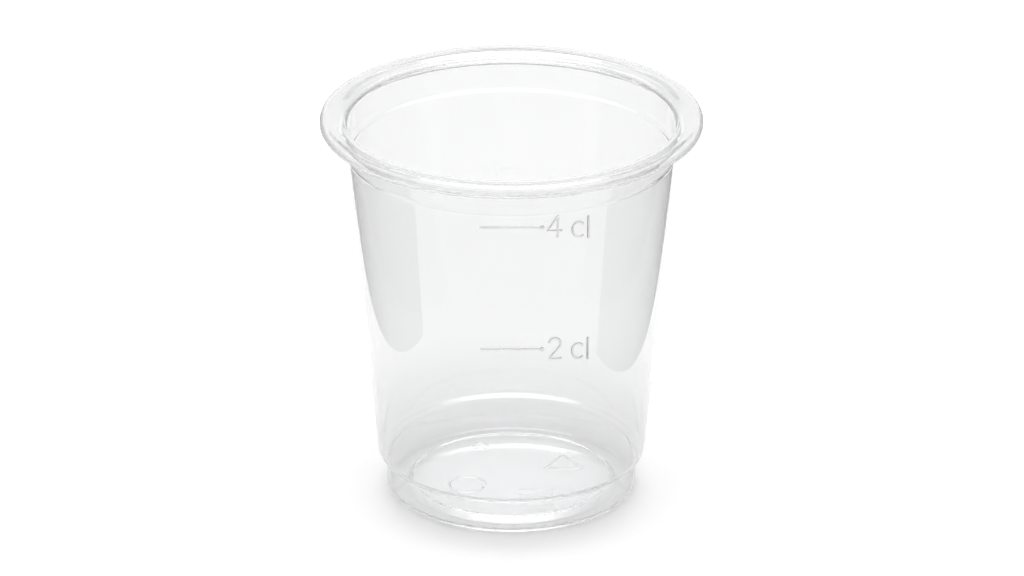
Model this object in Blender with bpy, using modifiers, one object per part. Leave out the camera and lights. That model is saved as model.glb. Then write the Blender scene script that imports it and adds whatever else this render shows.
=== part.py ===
"""Clear graduated shot cup: one thin moulded sheet with a rolled rim, a tapered wall, a stacking ledge and a foot.

The cup stands on Z = 0 with its axis on Z, and its fill lines face -Y.
"""

import math

import bmesh
import bpy
from mathutils import Vector

MM = 0.001

# The sheet, and the overall sizes
SHEET = 0.40 * MM
CUP_HEIGHT = 49.2 * MM
MOUTH_DIAMETER = 40.8 * MM  # outside of the collar, just under the rim
FOOT_DIAMETER = 30.8 * MM

# Rolled rim: an oval roll, open underneath between its lip and the collar
RIM_OVERHANG = 2.9 * MM
RIM_HEIGHT = 1.72 * MM
RIM_INNER_BEND = 1.3 * MM
RIM_LIP = 2.25 * MM  # how far the lip reaches back under the roll

# Collar: the short stretch above the shoulder line
SHOULDER_BELOW_TOP = 5.2 * MM
SHOULDER_STEP = 0.15 * MM
SHOULDER_RISE = 0.45 * MM
COLLAR_FLARE = 0.30 * MM

# Stacking ledge and foot
FOOT_HEIGHT = 4.35 * MM
FOOT_DRAFT = 0.05 * MM
LEDGE_WIDTH = 1.05 * MM
LEDGE_DROP = 0.40 * MM
HEEL_BEND = 0.64 * MM
SMALL_BEND = 0.35 * MM

# Raised floor panel inside the rest ring that touches the table
REST_WIDTH = 2.2 * MM
RISER_WIDTH = 0.85 * MM
FLOOR_CLEARANCE = 0.67 * MM

# Raised fill lines with their figures, on the outside of the wall at -Y
UPPER_LINE_BELOW_TOP = 6.6 * MM
LINE_SPACING = 16.55 * MM
LINE_LENGTH = 7.35 * MM
LABEL_GAP = 0.66 * MM  # from the line to its number
UNIT_GAP = 1.36 * MM  # from the number to its unit
LETTER_GAP = 0.66 * MM
FIGURE_HEIGHT = 2.75 * MM
LINE_ON_FIGURE = 0.455  # the line meets its number this share of the way up
STROKE_RADIUS = 0.14 * MM
MARK_TILT = math.radians(23.5)  # the marks look level and undistorted from this far above the front
UPPER_NUMBER = "4"
LOWER_NUMBER = "2"
UNIT = "cl"

# Raised moulding signs under the floor, plain shapes placed in floor radii (across, back)
RING_AT = (-0.45, -0.23)
RING_DIAMETER = 4.4 * MM
SMALL_RING_AT = (-0.32, 0.70)
SMALL_RING_DIAMETER = 1.8 * MM
TRIANGLE_AT = (0.53, 0.27)
TRIANGLE_WIDTH = 4.6 * MM
BARS_AT = (0.25, -0.54)
BAR_LENGTH = 3.8 * MM
BAR_SPACING = 1.5 * MM
BAR_COUNT = 4

# Faceting
TURN_STEPS = 60
BEND_STEP = math.radians(30)
SAME_POINT = 0.001 * MM

HALF_SHEET = SHEET / 2
FOOT_RADIUS = FOOT_DIAMETER / 2 - HALF_SHEET
FOOT_TOP_RADIUS = FOOT_RADIUS + FOOT_DRAFT
WALL_BOTTOM_RADIUS = FOOT_RADIUS + LEDGE_WIDTH
WALL_BOTTOM_HEIGHT = FOOT_HEIGHT + LEDGE_DROP
COLLAR_TOP_RADIUS = MOUTH_DIAMETER / 2 - HALF_SHEET
COLLAR_BOTTOM_RADIUS = COLLAR_TOP_RADIUS - COLLAR_FLARE
WALL_TOP_RADIUS = COLLAR_BOTTOM_RADIUS - SHOULDER_STEP
WALL_TOP_HEIGHT = CUP_HEIGHT - SHOULDER_BELOW_TOP
RIM_RADIUS = MOUTH_DIAMETER / 2 + RIM_OVERHANG - HALF_SHEET
RIM_TOP = CUP_HEIGHT - HALF_SHEET
RIM_BOTTOM = CUP_HEIGHT - RIM_HEIGHT + HALF_SHEET
RIM_BEND = (RIM_TOP - RIM_BOTTOM) / 2
REST_INNER_RADIUS = FOOT_RADIUS - REST_WIDTH
FLOOR_RADIUS = REST_INNER_RADIUS - RISER_WIDTH
FLOOR_HEIGHT = FLOOR_CLEARANCE + HALF_SHEET


def clear_scene():
    for obj in list(bpy.data.objects):
        bpy.data.objects.remove(obj, do_unlink=True)


def new_collection(name):
    collection = bpy.data.collections.new(name)
    bpy.context.scene.collection.children.link(collection)
    return collection


def bend(before, corner, after, radius):
    """Points of the arc that rounds a corner of the profile."""
    back = (before - corner).normalized()
    ahead = (after - corner).normalized()
    turn = math.pi - back.angle(ahead)
    reach = radius * math.tan(turn / 2)
    centre = corner + (back + ahead).normalized() * math.hypot(radius, reach)
    start = corner + back * reach - centre
    side = 1 if back.x * ahead.y - back.y * ahead.x < 0 else -1
    steps = max(1, math.ceil(turn / BEND_STEP - 0.01))
    points = []
    for step in range(steps + 1):
        angle = side * turn * step / steps
        points.append(
            centre
            + Vector(
                (
                    start.x * math.cos(angle) - start.y * math.sin(angle),
                    start.x * math.sin(angle) + start.y * math.cos(angle),
                )
            )
        )
    return points


def rounded(corners):
    """An open path (radius, height) through the corners, each (radius, height, bend)."""
    path = [Vector(corners[0][:2])]
    for before, corner, after in zip(corners, corners[1:], corners[2:]):
        for point in bend(Vector(before[:2]), Vector(corner[:2]), Vector(after[:2]), corner[2]):
            if (point - path[-1]).length > SAME_POINT:
                path.append(point)
    return path + [Vector(corners[-1][:2])]


def sheet_profile():
    """The middle of the sheet, from the lip of the rim down to the centre of the floor."""
    return rounded(
        [
            (RIM_RADIUS - RIM_LIP, RIM_BOTTOM, 0),
            (RIM_RADIUS, RIM_BOTTOM, RIM_BEND),
            (RIM_RADIUS, RIM_TOP, RIM_BEND),
            (COLLAR_TOP_RADIUS, RIM_TOP, RIM_INNER_BEND),
            (COLLAR_BOTTOM_RADIUS, WALL_TOP_HEIGHT + SHOULDER_RISE, SMALL_BEND),
            (WALL_TOP_RADIUS, WALL_TOP_HEIGHT, SMALL_BEND),
            (WALL_BOTTOM_RADIUS, WALL_BOTTOM_HEIGHT, SMALL_BEND),
            (FOOT_TOP_RADIUS, FOOT_HEIGHT, SMALL_BEND),
            (FOOT_RADIUS, HALF_SHEET, HEEL_BEND),
            (REST_INNER_RADIUS, HALF_SHEET, SMALL_BEND),
            (FLOOR_RADIUS, FLOOR_HEIGHT, SMALL_BEND),
            (0, FLOOR_HEIGHT, 0),
        ]
    )


def turned_shell(name, collection):
    """The sheet's profile turned about Z and thickened evenly to both sides."""
    mesh = bpy.data.meshes.new(name)
    shape = bmesh.new()
    points = [shape.verts.new((point.x, 0, point.y)) for point in sheet_profile()]
    for first, second in zip(points, points[1:]):
        shape.edges.new((first, second))
    shape.to_mesh(mesh)
    shape.free()
    shell = bpy.data.objects.new(name, mesh)
    collection.objects.link(shell)
    turn = shell.modifiers.new("turn", "SCREW")
    turn.axis = "Z"
    turn.steps = TURN_STEPS
    turn.render_steps = TURN_STEPS
    turn.use_merge_vertices = True
    turn.merge_threshold = 0.01 * MM
    thicken = shell.modifiers.new("thicken", "SOLIDIFY")
    thicken.thickness = SHEET
    thicken.offset = 0
    thicken.use_even_offset = True
    return shell


def arc(centre, reach, first, last, steps):
    """Points round a centre, from the first to the last angle in degrees; reach is (across, up)."""
    points = []
    for step in range(steps + 1):
        angle = math.radians(first + (last - first) * step / steps)
        points.append((centre[0] + reach[0] * math.cos(angle), centre[1] + reach[1] * math.sin(angle)))
    return points


# Plain one-line figures, drawn in figure heights: (width, strokes)
FIGURES = {
    "4": (0.59, [[(0.41, 0.97), (0.0, 0.31), (0.59, 0.31)], [(0.44, 1.0), (0.44, 0.0)]]),
    "2": (0.59, [arc((0.33, 0.74), (0.25, 0.26), 165, -35, 6) + [(0.07, 0.0), (0.59, 0.0)]]),
    "c": (0.45, [arc((0.27, 0.37), (0.27, 0.37), 50, 310, 8)]),
    "l": (0.0, [[(0.0, 1.0), (0.0, 0.0)]]),
}


def wall_radius(height):
    """Outside radius of the wall at a height."""
    share = (height - WALL_BOTTOM_HEIGHT) / (WALL_TOP_HEIGHT - WALL_BOTTOM_HEIGHT)
    middle = WALL_BOTTOM_RADIUS + share * (WALL_TOP_RADIUS - WALL_BOTTOM_RADIUS)
    return middle + HALF_SHEET


def on_wall(across, height):
    """Carries a point of a flat drawing in front of the cup back and down onto the wall, along MARK_TILT."""
    front = -wall_radius(height)
    place = Vector((across, front, height))
    for _ in range(6):
        place.y = -math.sqrt(wall_radius(place.z) ** 2 - across**2)
        place.z = height - (place.y - front) * math.tan(MARK_TILT)
    return place


def under_floor(across, back):
    return Vector((across, back, FLOOR_CLEARANCE))


def straight(first, last, steps):
    return [
        (first[0] + (last[0] - first[0]) * step / steps, first[1] + (last[1] - first[1]) * step / steps)
        for step in range(steps + 1)
    ]


def label_strokes(number, line_height):
    """The strokes of one fill line and the figures beside it, in (across, height)."""
    strokes = [straight((-LINE_LENGTH / 2, line_height), (LINE_LENGTH / 2, line_height), 6)]
    left = LINE_LENGTH / 2 + LABEL_GAP
    bottom = line_height - FIGURE_HEIGHT * LINE_ON_FIGURE
    for letter in number + UNIT:
        width, lines = FIGURES[letter]
        for line in lines:
            strokes.append([(left + x * FIGURE_HEIGHT, bottom + y * FIGURE_HEIGHT) for x, y in line])
        left += width * FIGURE_HEIGHT + (UNIT_GAP if letter == number else LETTER_GAP)
    return strokes


def on_floor(place):
    return place[0] * FLOOR_RADIUS, place[1] * FLOOR_RADIUS


def sign_strokes():
    """Rings, triangle and bars under the floor, in (across, back)."""
    ring = arc(on_floor(RING_AT), (RING_DIAMETER / 2,) * 2, 0, 340, 14)
    small_ring = arc(on_floor(SMALL_RING_AT), (SMALL_RING_DIAMETER / 2,) * 2, 0, 320, 8)
    corner_reach = TRIANGLE_WIDTH / math.sqrt(3)
    triangle = arc(on_floor(TRIANGLE_AT), (corner_reach,) * 2, 90, 450, 3)
    strokes = [ring, small_ring, triangle[:3], triangle[2:]]
    bars_across, bars_back = on_floor(BARS_AT)
    for bar in range(BAR_COUNT):
        back = bars_back + (bar - (BAR_COUNT - 1) / 2) * BAR_SPACING
        strokes.append([(bars_across - BAR_LENGTH / 2, back), (bars_across + BAR_LENGTH / 2, back)])
    return strokes


def ridges(name, strokes, place, collection):
    """Round ridges along the strokes, half sunk into the surface that place() puts them on."""
    curve = bpy.data.curves.new(name, "CURVE")
    curve.dimensions = "3D"
    curve.bevel_depth = STROKE_RADIUS
    curve.bevel_resolution = 1
    curve.use_fill_caps = True
    for stroke in strokes:
        spline = curve.splines.new("POLY")
        spline.points.add(len(stroke) - 1)
        for point, flat in zip(spline.points, stroke):
            point.co = (*place(*flat), 1)
    route = bpy.data.objects.new(name + "_route", curve)
    collection.objects.link(route)
    bpy.context.view_layer.update()
    solid = route.evaluated_get(bpy.context.evaluated_depsgraph_get())
    mesh = bpy.data.meshes.new_from_object(solid)
    bpy.data.objects.remove(route, do_unlink=True)
    shape = bmesh.new()
    shape.from_mesh(mesh)
    bmesh.ops.remove_doubles(shape, verts=shape.verts, dist=0.001 * MM)
    bmesh.ops.recalc_face_normals(shape, faces=shape.faces)
    shape.to_mesh(mesh)
    shape.free()
    ridge = bpy.data.objects.new(name, mesh)
    ridge.hide_render = True
    ridge.display_type = "WIRE"
    collection.objects.link(ridge)
    return ridge


def join(shell, ridge):
    union = shell.modifiers.new(ridge.name, "BOOLEAN")
    union.operation = "UNION"
    union.solver = "EXACT"
    union.use_self = True
    union.object = ridge


def clear_plastic():
    material = bpy.data.materials.new("clear_plastic")
    material.use_nodes = True
    shader = material.node_tree.nodes["Principled BSDF"]
    shader.inputs["Base Color"].default_value = (0.97, 0.98, 0.99, 1)
    shader.inputs["Metallic"].default_value = 0
    shader.inputs["Roughness"].default_value = 0.03
    shader.inputs["IOR"].default_value = 1.57
    shader.inputs["Transmission Weight"].default_value = 1
    return material


def main():
    clear_scene()
    parts = new_collection("graduated_shot_cup")
    helpers = new_collection("helpers")
    cup = turned_shell("cup_body", parts)
    upper_line = CUP_HEIGHT - UPPER_LINE_BELOW_TOP
    labels = label_strokes(UPPER_NUMBER, upper_line)
    labels += label_strokes(LOWER_NUMBER, upper_line - LINE_SPACING)
    join(cup, ridges("fill_lines", labels, on_wall, helpers))
    join(cup, ridges("floor_signs", sign_strokes(), under_floor, helpers))
    cup.data.materials.append(clear_plastic())
    cup.data.shade_smooth()
    cup.data.set_sharp_from_angle(angle=math.radians(35))


main()
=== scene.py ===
"""Looks of the clear graduated shot cup: its fine turned shell, raised marks, plastic and studio."""

import math

import bmesh
import bpy
from mathutils import Matrix, Vector


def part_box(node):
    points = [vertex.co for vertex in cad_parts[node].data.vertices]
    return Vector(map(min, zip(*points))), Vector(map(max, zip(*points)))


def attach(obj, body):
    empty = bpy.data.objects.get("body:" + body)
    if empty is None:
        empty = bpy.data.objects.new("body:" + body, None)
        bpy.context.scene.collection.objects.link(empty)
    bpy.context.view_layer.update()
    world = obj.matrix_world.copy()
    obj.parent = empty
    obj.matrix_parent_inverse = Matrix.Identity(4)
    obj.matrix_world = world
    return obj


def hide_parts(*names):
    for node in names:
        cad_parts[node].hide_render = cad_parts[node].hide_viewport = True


MM = 0.001

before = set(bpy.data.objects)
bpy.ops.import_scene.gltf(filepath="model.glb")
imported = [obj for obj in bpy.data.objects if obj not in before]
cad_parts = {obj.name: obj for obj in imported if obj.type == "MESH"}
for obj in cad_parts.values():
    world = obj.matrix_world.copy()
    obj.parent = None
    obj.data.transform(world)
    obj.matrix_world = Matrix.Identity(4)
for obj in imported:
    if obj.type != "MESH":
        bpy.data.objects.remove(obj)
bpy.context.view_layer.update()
scene = bpy.context.scene

# ---- Sizes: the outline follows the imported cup's box, and the rest are the mould's own values ----

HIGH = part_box("cup_body")[1]
CUP_HEIGHT = HIGH.z
RIM_OUTER = HIGH.x

SHEET = 0.40 * MM
HALF_SHEET = SHEET / 2

RIM_OVERHANG = 2.9 * MM
RIM_DEPTH = 1.72 * MM
RIM_LIP = 2.25 * MM
LIP_DROP = 0.25 * MM
LIP_EDGE = 0.5  # share of the thickness left at the edge of the lip
RIM_INNER_BEND = 1.3 * MM

SHOULDER_BELOW_TOP = 5.2 * MM
SHOULDER_STEP = 0.30 * MM
SHOULDER_RISE = 0.67 * MM
SHOULDER_BEND = 1.2 * MM
COLLAR_FLARE = 0.15 * MM

FOOT_RADIUS = 15.2 * MM
FOOT_HEIGHT = 4.35 * MM
FOOT_DRAFT = 0.05 * MM
LEDGE_WIDTH = 1.05 * MM
LEDGE_DROP = 0.40 * MM
HEEL_BEND = 0.64 * MM
LEDGE_BEND = 0.80 * MM
SMALL_BEND = 0.35 * MM

REST_WIDTH = 2.2 * MM
RISER_WIDTH = 0.85 * MM
FLOOR_CLEARANCE = 0.67 * MM

UPPER_LINE_BELOW_TOP = 6.6 * MM
LINE_SPACING = 16.55 * MM
LINE_LENGTH = 7.35 * MM
LABEL_GAP = 0.66 * MM
UNIT_GAP = 1.36 * MM
LETTER_GAP = 0.66 * MM
FIGURE_HEIGHT = 2.75 * MM
LINE_ON_FIGURE = 0.455  # where a line meets its figures, as a share of their height
MARK_TILT = math.radians(23.5)  # drawn flat, the marks are carried down onto the wall at this slope
LINE_RADIUS = 0.13 * MM
FIGURE_RADIUS = 0.16 * MM
BEAD_RADIUS = 0.28 * MM

RING_RADIUS = 2.2 * MM
SMALL_RING_RADIUS = 0.9 * MM
TRIANGLE_REACH = 2.66 * MM
BARS = 4
BAR_SPACING = 1.5 * MM
HALF_BAR = 1.9 * MM

# Worked out from the sizes above, to the sheet's middle; the wall's two ends are (radius, height)
WALL_BOTTOM = (FOOT_RADIUS + LEDGE_WIDTH, FOOT_HEIGHT + LEDGE_DROP)
COLLAR_RADIUS = RIM_OUTER - RIM_OVERHANG - HALF_SHEET
WALL_TOP = (COLLAR_RADIUS - COLLAR_FLARE - SHOULDER_STEP, CUP_HEIGHT - SHOULDER_BELOW_TOP)
FLOOR_RADIUS = FOOT_RADIUS - REST_WIDTH - RISER_WIDTH

# Extra rings where the marks are joined on keep the faces round them short
UPPER_LINE = CUP_HEIGHT - UPPER_LINE_BELOW_TOP
LOWER_LINE = UPPER_LINE - LINE_SPACING
RINGS_BY_LINE = (1.3 * MM, -0.8 * MM, -3.0 * MM)
WALL_RINGS = [line + step for line in (UPPER_LINE, LOWER_LINE) for step in RINGS_BY_LINE]
FLOOR_RINGS = (0.88, 0.64, 0.52, 0.24)  # shares of the floor's radius

SUPPORT = 0.05 * MM  # keeps the shading of straight stretches apart from that of the bends
TURN_STEPS = 256
SAME_POINT = 0.0005 * MM
SHARP_ANGLE = math.radians(35)


# ---- Shell ----

def wall_radius(height):
    """Outside radius of the wall at a height."""
    share = (height - WALL_BOTTOM[1]) / (WALL_TOP[1] - WALL_BOTTOM[1])
    return WALL_BOTTOM[0] + share * (WALL_TOP[0] - WALL_BOTTOM[0]) + HALF_SHEET


def sheet_corners():
    """Corners of the sheet's middle, lip to floor centre: (radius, height, bend, steps in the bend)."""
    rim_radius = RIM_OUTER - HALF_SHEET
    rim_top = CUP_HEIGHT - HALF_SHEET
    rim_bottom = CUP_HEIGHT - RIM_DEPTH + HALF_SHEET
    roll = (rim_top - rim_bottom) / 2
    floor_level = FLOOR_CLEARANCE + HALF_SHEET
    return [
        (rim_radius - RIM_LIP, rim_bottom - LIP_DROP, 0, 0),
        (rim_radius, rim_bottom, roll, 9),
        (rim_radius, rim_top, roll, 9),
        (COLLAR_RADIUS, rim_top, RIM_INNER_BEND, 9),
        (COLLAR_RADIUS - COLLAR_FLARE, WALL_TOP[1] + SHOULDER_RISE, SHOULDER_BEND, 4),
        (*WALL_TOP, SHOULDER_BEND, 4),
        *[(wall_radius(height) - HALF_SHEET, height, 0, 0) for height in WALL_RINGS],
        (*WALL_BOTTOM, LEDGE_BEND, 8),
        (FOOT_RADIUS + FOOT_DRAFT, FOOT_HEIGHT, LEDGE_BEND, 8),
        (FOOT_RADIUS, HALF_SHEET, HEEL_BEND, 8),
        (FOOT_RADIUS - REST_WIDTH, HALF_SHEET, SMALL_BEND, 4),
        (FLOOR_RADIUS, floor_level, SMALL_BEND, 4),
        *[(FLOOR_RADIUS * share, floor_level, 0, 0) for share in FLOOR_RINGS],
        (0, floor_level, 0, 0),
    ]


def round_corners(shape, verts, corners):
    """Rounds each corner that has a bend, to the radius of its bend."""
    places = [vert.co.copy() for vert in verts]
    for index in range(1, len(corners) - 1):
        bend, steps = corners[index][2:]
        if bend == 0:
            continue
        back = places[index - 1] - places[index]
        ahead = places[index + 1] - places[index]
        turn = math.pi - back.angle(ahead)
        bmesh.ops.bevel(
            shape, geom=[verts[index]], affect="VERTICES", offset_type="OFFSET",
            offset=bend * math.tan(turn / 2) * 0.999,  # just under, so that two bends can meet
            segments=steps, profile=0.5, material=-1,
        )


def hold_straight(shape):
    """Adds a point close to each end of the long stretches."""
    for edge in [edge for edge in shape.edges if edge.calc_length() > 10 * SUPPORT]:
        first, last = edge.verts
        share = SUPPORT / edge.calc_length()
        middle = bmesh.utils.edge_split(edge, first, share)[1]
        rest = next(other for other in last.link_edges if middle in other.verts)
        bmesh.utils.edge_split(rest, last, share / (1 - share))


def turned_sheet():
    """The sheet's middle as an open surface: a wire with rounded corners, spun round Z."""
    shape = bmesh.new()
    corners = sheet_corners()
    verts = [shape.verts.new((radius, 0, height)) for radius, height, _, _ in corners]
    for first, second in zip(verts, verts[1:]):
        shape.edges.new((first, second))
    round_corners(shape, verts, corners)
    hold_straight(shape)
    bmesh.ops.spin(
        shape, geom=shape.verts[:] + shape.edges[:], axis=(0, 0, 1), cent=(0, 0, 0),
        angle=math.tau, steps=TURN_STEPS, use_merge=True,
    )
    bmesh.ops.remove_doubles(shape, verts=shape.verts, dist=SAME_POINT)
    bmesh.ops.recalc_face_normals(shape, faces=shape.faces)
    return shape


def to_object(name, shape):
    """Makes an object of a shape and puts it in the scene."""
    mesh = bpy.data.meshes.new(name)
    shape.to_mesh(mesh)
    shape.free()
    piece = bpy.data.objects.new(name, mesh)
    scene.collection.objects.link(piece)
    return piece


def thin_lip(piece):
    """Weights by which the lip thins out towards its edge under the rim; gives the group's name."""
    group = piece.vertex_groups.new(name="sheet")
    roll = RIM_DEPTH / 2
    for vert in piece.data.vertices:
        radius = math.hypot(vert.co.x, vert.co.y)
        share = (radius - RIM_OUTER + HALF_SHEET + RIM_LIP) / (RIM_LIP - roll)
        on_lip = WALL_TOP[1] < vert.co.z < CUP_HEIGHT - roll and radius > COLLAR_RADIUS
        weight = LIP_EDGE + (1 - LIP_EDGE) * min(1, share) if on_lip else 1
        group.add([vert.index], weight, "REPLACE")
    return group.name


def thicken(piece):
    """Gives the sheet its thickness, half to each side of its middle."""
    wall = piece.modifiers.new("thicken", "SOLIDIFY")
    wall.thickness = SHEET
    wall.offset = 0
    wall.use_even_offset = True
    wall.vertex_group = thin_lip(piece)


def seen_mesh(piece):
    """A mesh of what the piece's modifiers or bevel show."""
    bpy.context.view_layer.update()
    return bpy.data.meshes.new_from_object(piece.evaluated_get(bpy.context.evaluated_depsgraph_get()))


def apply_modifiers(piece):
    """Makes what the modifiers show the piece's own mesh."""
    finished = seen_mesh(piece)
    piece.modifiers.clear()
    piece.data = finished


def clean(piece):
    """Welds the tiny leftovers of the joins and cuts many-sided faces into triangles."""
    shape = bmesh.new()
    shape.from_mesh(piece.data)
    bmesh.ops.remove_doubles(shape, verts=shape.verts, dist=SAME_POINT)
    many_sided = [face for face in shape.faces if len(face.verts) > 4]
    bmesh.ops.triangulate(shape, faces=many_sided, quad_method="BEAUTY", ngon_method="BEAUTY")
    bmesh.ops.dissolve_degenerate(shape, edges=shape.edges, dist=SAME_POINT)
    shape.to_mesh(piece.data)
    shape.free()


# ---- Raised marks ----

def arc(centre, reach, first, last, steps):
    """Points round a centre, from the first to the last angle in degrees; reach is (across, up)."""
    points = []
    for step in range(steps + 1):
        angle = math.radians(first + (last - first) * step / steps)
        points.append((centre[0] + reach[0] * math.cos(angle), centre[1] + reach[1] * math.sin(angle)))
    return points


# Plain one-line figures, drawn in figure heights: (width, strokes)
FIGURES = {
    "4": (0.59, [[(0.41, 0.97), (0.0, 0.31), (0.59, 0.31)], [(0.44, 1.0), (0.44, 0.0)]]),
    "2": (0.59, [arc((0.33, 0.74), (0.25, 0.26), 165, -35, 14) + [(0.07, 0.0), (0.59, 0.0)]]),
    "c": (0.45, [arc((0.27, 0.37), (0.27, 0.37), 50, 310, 20)]),
    "l": (0.0, [[(0.0, 1.0), (0.0, 0.0)]]),
}


def on_wall(across, height):
    """Carries a point of a drawing in front of the cup back and down onto the wall, along MARK_TILT."""
    front = -wall_radius(height)
    place = Vector((across, front, height))
    for _ in range(6):
        place.y = -math.sqrt(wall_radius(place.z) ** 2 - across ** 2)
        place.z = height - (place.y - front) * math.tan(MARK_TILT)
    return place


def under_floor(across, back):
    """Puts a point of a flat drawing on the underside of the floor."""
    return Vector((across, back, FLOOR_CLEARANCE))


def straight(first, last, steps):
    """Points from the first to the last, evenly spaced."""
    return [tuple(Vector(first).lerp(Vector(last), step / steps)) for step in range(steps + 1)]


def line_strokes():
    """Both fill lines, in (across, height)."""
    half = LINE_LENGTH / 2
    return [straight((-half, height), (half, height), 10) for height in (UPPER_LINE, LOWER_LINE)]


def figure_strokes(number, line_height):
    """The figures beside a fill line, in (across, height)."""
    strokes = []
    left = LINE_LENGTH / 2 + LABEL_GAP
    bottom = line_height - FIGURE_HEIGHT * LINE_ON_FIGURE
    for letter in number + "cl":
        width, lines = FIGURES[letter]
        for line in lines:
            strokes.append([(left + x * FIGURE_HEIGHT, bottom + y * FIGURE_HEIGHT) for x, y in line])
        left += width * FIGURE_HEIGHT + (UNIT_GAP if letter == number else LETTER_GAP)
    return strokes


def sign_strokes():
    """Rings, triangle and bars under the floor, in (across, back)."""
    floor = FLOOR_RADIUS
    ring = arc((-0.45 * floor, -0.23 * floor), (RING_RADIUS, RING_RADIUS), 0, 340, 28)
    small_ring = arc((-0.32 * floor, 0.70 * floor), (SMALL_RING_RADIUS, SMALL_RING_RADIUS), 0, 320, 16)
    triangle = arc((0.53 * floor, 0.27 * floor), (TRIANGLE_REACH, TRIANGLE_REACH), 90, 450, 3)
    strokes = [ring, small_ring, triangle[:3], triangle[2:]]
    middle = 0.25 * floor
    for bar in range(BARS):
        back = -0.54 * floor + (bar - (BARS - 1) / 2) * BAR_SPACING
        strokes.append([(middle - HALF_BAR, back), (middle + HALF_BAR, back)])
    return strokes


def ridges(name, strokes, place, radius, beads=()):
    """Half-round ridges with ball ends along the strokes, half sunk into the surface."""
    curve = bpy.data.curves.new(name, "CURVE")
    curve.dimensions = "3D"
    curve.bevel_depth = radius
    curve.bevel_resolution = 3
    curve.use_fill_caps = True
    balls = [(place(*bead), BEAD_RADIUS) for bead in beads]
    for stroke in strokes:
        points = [place(*flat) for flat in stroke]
        spline = curve.splines.new("POLY")
        spline.points.add(len(points) - 1)
        for slot, point in zip(spline.points, points):
            slot.co = (*point, 1)
        balls += [(points[0], radius * 1.05), (points[-1], radius * 1.05)]
    route = bpy.data.objects.new(name + "_route", curve)
    scene.collection.objects.link(route)
    mesh = seen_mesh(route)
    bpy.data.objects.remove(route)
    shape = bmesh.new()
    shape.from_mesh(mesh)
    bmesh.ops.remove_doubles(shape, verts=shape.verts, dist=SAME_POINT)
    for centre, size in balls:
        bmesh.ops.create_uvsphere(
            shape, u_segments=12, v_segments=8, radius=size, matrix=Matrix.Translation(centre)
        )
    bmesh.ops.recalc_face_normals(shape, faces=shape.faces)
    return to_object(name, shape)


def all_ridges():
    """The three sets of marks: fill lines with a bead at their right ends, figures, floor signs."""
    lines = line_strokes()
    figures = figure_strokes("4", UPPER_LINE) + figure_strokes("2", LOWER_LINE)
    return [
        ridges("fill_lines", lines, on_wall, LINE_RADIUS, [line[-1] for line in lines]),
        ridges("figures", figures, on_wall, FIGURE_RADIUS),
        ridges("floor_signs", sign_strokes(), under_floor, FIGURE_RADIUS),
    ]


def join(piece, ridge):
    """Adds a set of ridges to the piece, so that both are one solid."""
    union = piece.modifiers.new(ridge.name, "BOOLEAN")
    union.operation = "UNION"
    union.solver = "EXACT"
    union.use_self = True
    union.object = ridge


# ---- Clear plastic ----

SHEET_TINT = (0.935, 0.937, 0.94, 1)
# Painted shade: this grey darkens the fill lines and figures on the wall, beyond the dark edges their
# refraction really gives.
MARK_PAINTED_SHADE = (0.62, 0.62, 0.63, 1)
MARK_FROST = 0.25  # added to the roughness on raised marks
PROUD = 0.02 * MM  # what stands out this far from the sheet is a raised mark


def maths(tree, operation, *values):
    """A maths node on sockets or plain numbers; gives its result socket."""
    node = tree.nodes.new("ShaderNodeMath")
    node.operation = operation
    for slot, value in zip(node.inputs, values):
        if isinstance(value, bpy.types.NodeSocket):
            tree.links.new(value, slot)
        else:
            slot.default_value = value
    return node.outputs["Value"]


def raised_masks(tree, place):
    """Two sockets: 1 on the fill lines and figures, and 1 on the floor signs."""
    parts = tree.nodes.new("ShaderNodeSeparateXYZ")
    tree.links.new(place, parts.inputs["Vector"])
    x, y, z = (parts.outputs[axis] for axis in "XYZ")
    x_squared = maths(tree, "MULTIPLY", x, x)
    y_squared = maths(tree, "MULTIPLY", y, y)
    radius = maths(tree, "SQRT", maths(tree, "ADD", x_squared, y_squared))
    slope = (WALL_TOP[0] - WALL_BOTTOM[0]) / (WALL_TOP[1] - WALL_BOTTOM[1])
    wall = maths(tree, "MULTIPLY_ADD", z, slope, wall_radius(0) + PROUD)
    outside_wall = maths(tree, "GREATER_THAN", radius, wall)
    under_shoulder = maths(tree, "LESS_THAN", z, WALL_TOP[1] - SMALL_BEND)
    on_side = maths(tree, "MULTIPLY", outside_wall, under_shoulder)
    inside_riser = maths(tree, "LESS_THAN", radius, FLOOR_RADIUS - SMALL_BEND)
    below_floor = maths(tree, "LESS_THAN", z, FLOOR_CLEARANCE - PROUD)
    on_base = maths(tree, "MULTIPLY", inside_riser, below_floor)
    return on_side, on_base


def hazy_gloss(tree, place):
    """A low roughness that changes a little from place to place."""
    haze = tree.nodes.new("ShaderNodeTexNoise")
    haze.inputs["Scale"].default_value = 260
    haze.inputs["Detail"].default_value = 3
    tree.links.new(place, haze.inputs["Vector"])
    gloss = tree.nodes.new("ShaderNodeMapRange")
    gloss.inputs["From Min"].default_value = 0.3
    gloss.inputs["From Max"].default_value = 0.75
    gloss.inputs["To Min"].default_value = 0.01
    gloss.inputs["To Max"].default_value = 0.035
    tree.links.new(haze.outputs["Fac"], gloss.inputs["Value"])
    return gloss.outputs["Result"]


def drawn_waves(tree, place):
    """A normal with faint upright waves, as drawing the hot sheet leaves them."""
    stretch = tree.nodes.new("ShaderNodeMapping")
    stretch.inputs["Scale"].default_value = (1, 1, 0.12)
    tree.links.new(place, stretch.inputs["Vector"])
    waves = tree.nodes.new("ShaderNodeTexNoise")
    waves.inputs["Scale"].default_value = 170
    waves.inputs["Detail"].default_value = 1
    tree.links.new(stretch.outputs["Vector"], waves.inputs["Vector"])
    bump = tree.nodes.new("ShaderNodeBump")
    bump.inputs["Strength"].default_value = 0.25
    bump.inputs["Distance"].default_value = 0.02 * MM
    tree.links.new(waves.outputs["Fac"], bump.inputs["Height"])
    return bump.outputs["Normal"]


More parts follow.
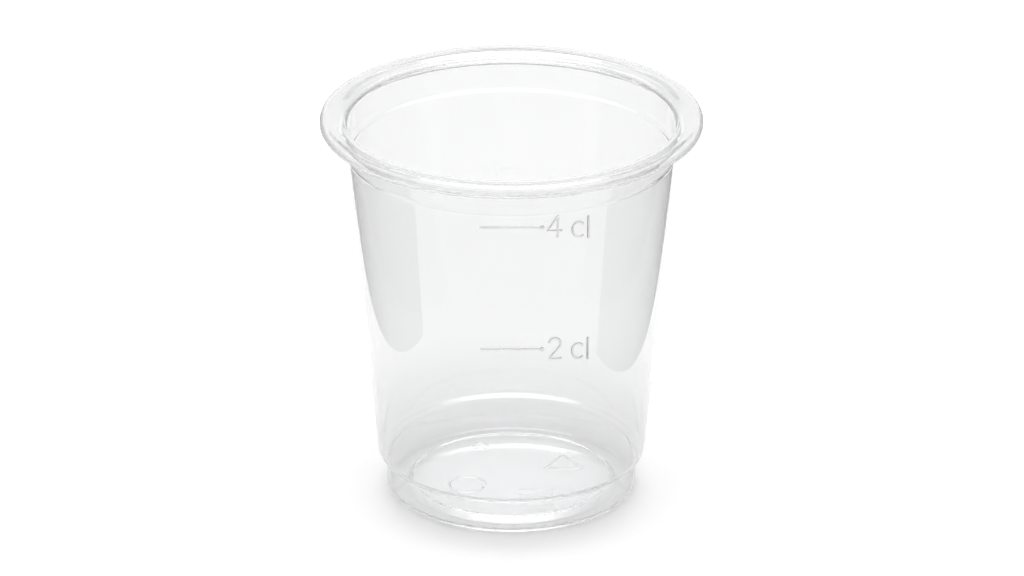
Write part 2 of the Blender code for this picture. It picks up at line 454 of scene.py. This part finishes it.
def clear_plastic():
    """Colourless polished sheet with the faint waves and haze of forming; its raised marks are frosted,
    and the fill lines and figures are also greyed with painted shade.
    """
    material = bpy.data.materials.new("clear_plastic")
    material.use_nodes = True
    tree = material.node_tree
    shader = tree.nodes["Principled BSDF"]
    shader.inputs["IOR"].default_value = 1.57
    shader.inputs["Transmission Weight"].default_value = 1
    place = tree.nodes.new("ShaderNodeTexCoord").outputs["Object"]
    on_side, on_base = raised_masks(tree, place)
    # Painted shade: the fill lines and figures on the wall are mixed to a darker grey here.
    tint_and_mark_shade = tree.nodes.new("ShaderNodeMix")
    tint_and_mark_shade.data_type = "RGBA"
    tint_and_mark_shade.inputs["A"].default_value = SHEET_TINT
    tint_and_mark_shade.inputs["B"].default_value = MARK_PAINTED_SHADE
    tree.links.new(on_side, tint_and_mark_shade.inputs["Factor"])
    tree.links.new(tint_and_mark_shade.outputs["Result"], shader.inputs["Base Color"])
    raised = maths(tree, "MAXIMUM", on_side, on_base)
    roughness = maths(tree, "MULTIPLY_ADD", raised, MARK_FROST, hazy_gloss(tree, place))
    tree.links.new(roughness, shader.inputs["Roughness"])
    tree.links.new(drawn_waves(tree, place), shader.inputs["Normal"])
    return material


# ---- Studio ----

CARD_GREYS = (0.02, 0.8)  # for light that the cup has only reflected, and that came through it too
SCREEN_GREYS = (0.25, 0.5)
CARD_GAPS = (("left", -1, 51 * MM), ("right", 1, 46 * MM))  # from the cup's axis to each card
CARD_HEIGHT = 0.3 * MM
CARD_FRONT = -26 * MM
CARD_FAR = 900 * MM
CARD_SPLAY = 250 * MM  # further forward at a card's outer end

SIDE_SCREEN_AWAY = 0.4
BACK_SCREEN_PLACE = (0, 1.2, 1.35)

BAND_RADIUS = 0.9
BAND_HEIGHTS = (0.27, 0.85)
BAND_REACH = math.radians(120)  # to each side of the front
BAND_STRENGTH = 2.2

ROOM_AS_LIGHT = 0.3
LAMP_PLACE = (0, 0.05, 0.9)
LAMP_WIDTH = 0.9
LAMP_POWER = 7

CAMERA_TILT = math.radians(23.55)
CAMERA_DISTANCE = 895.7 * MM
CAMERA_AIM = Vector((0.07 * MM, 0, 26.07 * MM))
LENS = 256.6

GUIDED_BOUNCES = 256  # light caught in the sheet runs its whole length before it leaves


def card_material(name, first_grey, deep_grey):
    """Grey to light that the cup has reflected at least once, and not there to any other."""
    material = bpy.data.materials.new(name)
    material.use_nodes = True
    tree = material.node_tree
    tree.nodes.clear()
    ray = tree.nodes.new("ShaderNodeLightPath").outputs
    reflected = maths(tree, "GREATER_THAN", ray["Glossy Depth"], 0.5)
    grey = maths(tree, "MULTIPLY_ADD", ray["Is Transmission Ray"], deep_grey - first_grey, first_grey)
    glow = tree.nodes.new("ShaderNodeEmission")
    tree.links.new(grey, glow.inputs["Strength"])
    either = tree.nodes.new("ShaderNodeMixShader")
    tree.links.new(reflected, either.inputs[0])
    tree.links.new(tree.nodes.new("ShaderNodeBsdfTransparent").outputs["BSDF"], either.inputs[1])
    tree.links.new(glow.outputs["Emission"], either.inputs[2])
    out = tree.nodes.new("ShaderNodeOutputMaterial")
    tree.links.new(either.outputs["Shader"], out.inputs["Surface"])
    return material


def pool_of_light(tree, place, centre_y, inner, outer, inside, outside):
    """A strength that changes smoothly with the distance from a point on the Y axis."""
    reach = tree.nodes.new("ShaderNodeVectorMath")
    reach.operation = "DISTANCE"
    tree.links.new(place, reach.inputs[0])
    reach.inputs[1].default_value = (0, centre_y, 0)
    pool = tree.nodes.new("ShaderNodeMapRange")
    pool.interpolation_type = "SMOOTHSTEP"
    pool.inputs["From Min"].default_value = inner
    pool.inputs["From Max"].default_value = outer
    pool.inputs["To Min"].default_value = inside
    pool.inputs["To Max"].default_value = outside
    tree.links.new(reach.outputs["Value"], pool.inputs["Value"])
    return pool.outputs["Result"]


def floor_material():
    """White paper: matt for the room's light, and lifted towards white where it is looked at, by a glow
    that changes with the distance from the cup: painted light under the cup where it is seen through the
    cup, and painted light that fades the cup's real shadow out a little way from its foot.
    """
    material = bpy.data.materials.new("studio_floor")
    material.use_nodes = True
    tree = material.node_tree
    tree.nodes.clear()
    matt = tree.nodes.new("ShaderNodeBsdfDiffuse")
    matt.inputs["Color"].default_value = (0.86, 0.86, 0.86, 1)
    ray = tree.nodes.new("ShaderNodeLightPath").outputs
    place = tree.nodes.new("ShaderNodeTexCoord").outputs["Object"]
    # Painted light: a pool of glow under the cup, strongest within 9 mm of its axis, seen only through the
    # cup and in its reflections.
    under = pool_of_light(tree, place, 0, 9 * MM, 17 * MM, 0.42, 0.17)
    # Painted light: seen straight on, the glow is weaker close round the foot and stronger from 19 mm out,
    # centred a little in front, so the cup's real shadow stays only near the foot.
    around = pool_of_light(tree, place, -4 * MM, 13 * MM, 19 * MM, 0.22, 0.36)
    far = pool_of_light(tree, place, 0, 150 * MM, 500 * MM, 0, 1)
    under = maths(tree, "MAXIMUM", under, far)
    around = maths(tree, "MAXIMUM", around, far)
    through = maths(tree, "MAXIMUM", ray["Is Glossy Ray"], ray["Is Transmission Ray"])
    lift_through = maths(tree, "MULTIPLY", through, under)
    lift = maths(tree, "MULTIPLY_ADD", ray["Is Camera Ray"], around, lift_through)
    glow = tree.nodes.new("ShaderNodeEmission")
    tree.links.new(lift, glow.inputs["Strength"])
    both = tree.nodes.new("ShaderNodeAddShader")
    tree.links.new(matt.outputs["BSDF"], both.inputs[0])
    tree.links.new(glow.outputs["Emission"], both.inputs[1])
    out = tree.nodes.new("ShaderNodeOutputMaterial")
    tree.links.new(both.outputs["Shader"], out.inputs["Surface"])
    return material


def level_sheet(name, low, high, height, material):
    """A flat rectangle of the studio, from the corner low to the corner high."""
    shape = bmesh.new()
    bmesh.ops.create_grid(shape, x_segments=1, y_segments=1, size=1)
    size = Vector((high[0] - low[0], high[1] - low[1], 2)) / 2
    middle = Vector(((low[0] + high[0]) / 2, (low[1] + high[1]) / 2, height))
    bmesh.ops.scale(shape, verts=shape.verts, vec=size)
    bmesh.ops.translate(shape, verts=shape.verts, vec=middle)
    piece = to_object(name, shape)
    piece.data.materials.append(material)
    return piece


def only_reflected(card):
    """Keeps a card out of sight and out of the room's light."""
    card.visible_camera = False
    card.visible_diffuse = False
    card.visible_shadow = False


def dark_cards():
    """Two dark cards flat on the floor, their front edges running further forward away from the cup."""
    dark = card_material("dark_card", *CARD_GREYS)
    for name, side, gap in CARD_GAPS:
        near, far = sorted((side * gap, side * CARD_FAR))
        card = level_sheet(name + "_card", (near, CARD_FRONT), (far, CARD_FAR), CARD_HEIGHT, dark)
        for vert in card.data.vertices:
            if vert.co.y < 0 and abs(vert.co.x) > gap + SAME_POINT:
                vert.co.y -= CARD_SPLAY
        only_reflected(card)


def grey_screens():
    """Upright grey screens: a low one to each side and a high one behind."""
    grey = card_material("grey_screen", *SCREEN_GREYS)
    for name, side, _ in CARD_GAPS:
        upright = level_sheet(name + "_screen", (-0.055, -0.3), (0.055, 1.2), 0, grey)
        upright.rotation_euler = (0, math.pi / 2, 0)
        upright.location = (side * SIDE_SCREEN_AWAY, 0, 0.06)
        only_reflected(upright)
    behind = level_sheet("back_screen", (-0.7, -0.7), (0.7, 0.7), 0, grey)
    behind.rotation_euler = (math.pi / 2, 0, 0)
    behind.location = BACK_SCREEN_PLACE
    only_reflected(behind)


def soft_band():
    """A bright curved band in front, seen only in reflections; it draws the light arcs along the bends."""
    shape = bmesh.new()
    low, high = (shape.verts.new((0, -BAND_RADIUS, height)) for height in BAND_HEIGHTS)
    edge = shape.edges.new((low, high))
    start = Matrix.Rotation(-BAND_REACH, 3, "Z")
    bmesh.ops.rotate(shape, verts=[low, high], cent=(0, 0, 0), matrix=start)
    bmesh.ops.spin(
        shape, geom=[low, high, edge], axis=(0, 0, 1), cent=(0, 0, 0), angle=2 * BAND_REACH, steps=48,
    )
    band = to_object("soft_band", shape)
    band.data.materials.append(card_material("soft_band", BAND_STRENGTH, BAND_STRENGTH))
    only_reflected(band)
    band.visible_transmission = False


def white_room():
    """White all round wherever it is looked at; as a light it is only the fill beside the lamp."""
    world = bpy.data.worlds.new("white_room")
    world.use_nodes = True
    tree = world.node_tree
    background = tree.nodes["Background"]
    background.inputs["Color"].default_value = (1, 1, 1, 1)
    ray = tree.nodes.new("ShaderNodeLightPath").outputs
    through = maths(tree, "MAXIMUM", ray["Is Glossy Ray"], ray["Is Transmission Ray"])
    seen = maths(tree, "MAXIMUM", ray["Is Camera Ray"], through)
    strength = maths(tree, "MULTIPLY_ADD", seen, 1 - ROOM_AS_LIGHT, ROOM_AS_LIGHT)
    tree.links.new(strength, background.inputs["Strength"])
    scene.world = world


def lamp():
    """A wide soft lamp overhead."""
    glow = bpy.data.lights.new("overhead", "AREA")
    glow.shape = "DISK"
    glow.size = LAMP_WIDTH
    glow.energy = LAMP_POWER
    source = bpy.data.objects.new("overhead", glow)
    source.location = LAMP_PLACE
    scene.collection.objects.link(source)


def camera():
    """A long lens looking down at the fill lines."""
    lens = bpy.data.cameras.new("camera")
    lens.sensor_width = 36
    lens.lens = LENS
    lens.clip_start = 0.05
    lens.clip_end = 20
    eye = bpy.data.objects.new("camera", lens)
    away = Vector((0, -math.cos(CAMERA_TILT), math.sin(CAMERA_TILT)))
    eye.location = CAMERA_AIM + CAMERA_DISTANCE * away
    eye.rotation_euler = (math.pi / 2 - CAMERA_TILT, 0, 0)
    scene.collection.objects.link(eye)
    scene.camera = eye


# ---- Assembly ----

def marked_cup():
    """The thickened sheet with all its marks joined on, as one solid."""
    cup = to_object("cup", turned_sheet())
    thicken(cup)
    apply_modifiers(cup)
    helpers = all_ridges()
    for helper in helpers:
        join(cup, helper)
    apply_modifiers(cup)
    for helper in helpers:
        bpy.data.objects.remove(helper)
    clean(cup)
    cup.data.materials.clear()
    cup.data.materials.append(clear_plastic())
    cup.data.shade_smooth()
    cup.data.set_sharp_from_angle(angle=SHARP_ANGLE)
    return cup


camera()
white_room()
lamp()
soft_band()
level_sheet("floor", (-3, -3), (3, 3), -0.02 * MM, floor_material())
dark_cards()
grey_screens()

cup = marked_cup()
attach(cup, "root")
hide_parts("cup_body")

scene.view_settings.view_transform = "Standard"
scene.cycles.max_bounces = GUIDED_BOUNCES
scene.cycles.glossy_bounces = GUIDED_BOUNCES
scene.cycles.transmission_bounces = GUIDED_BOUNCES
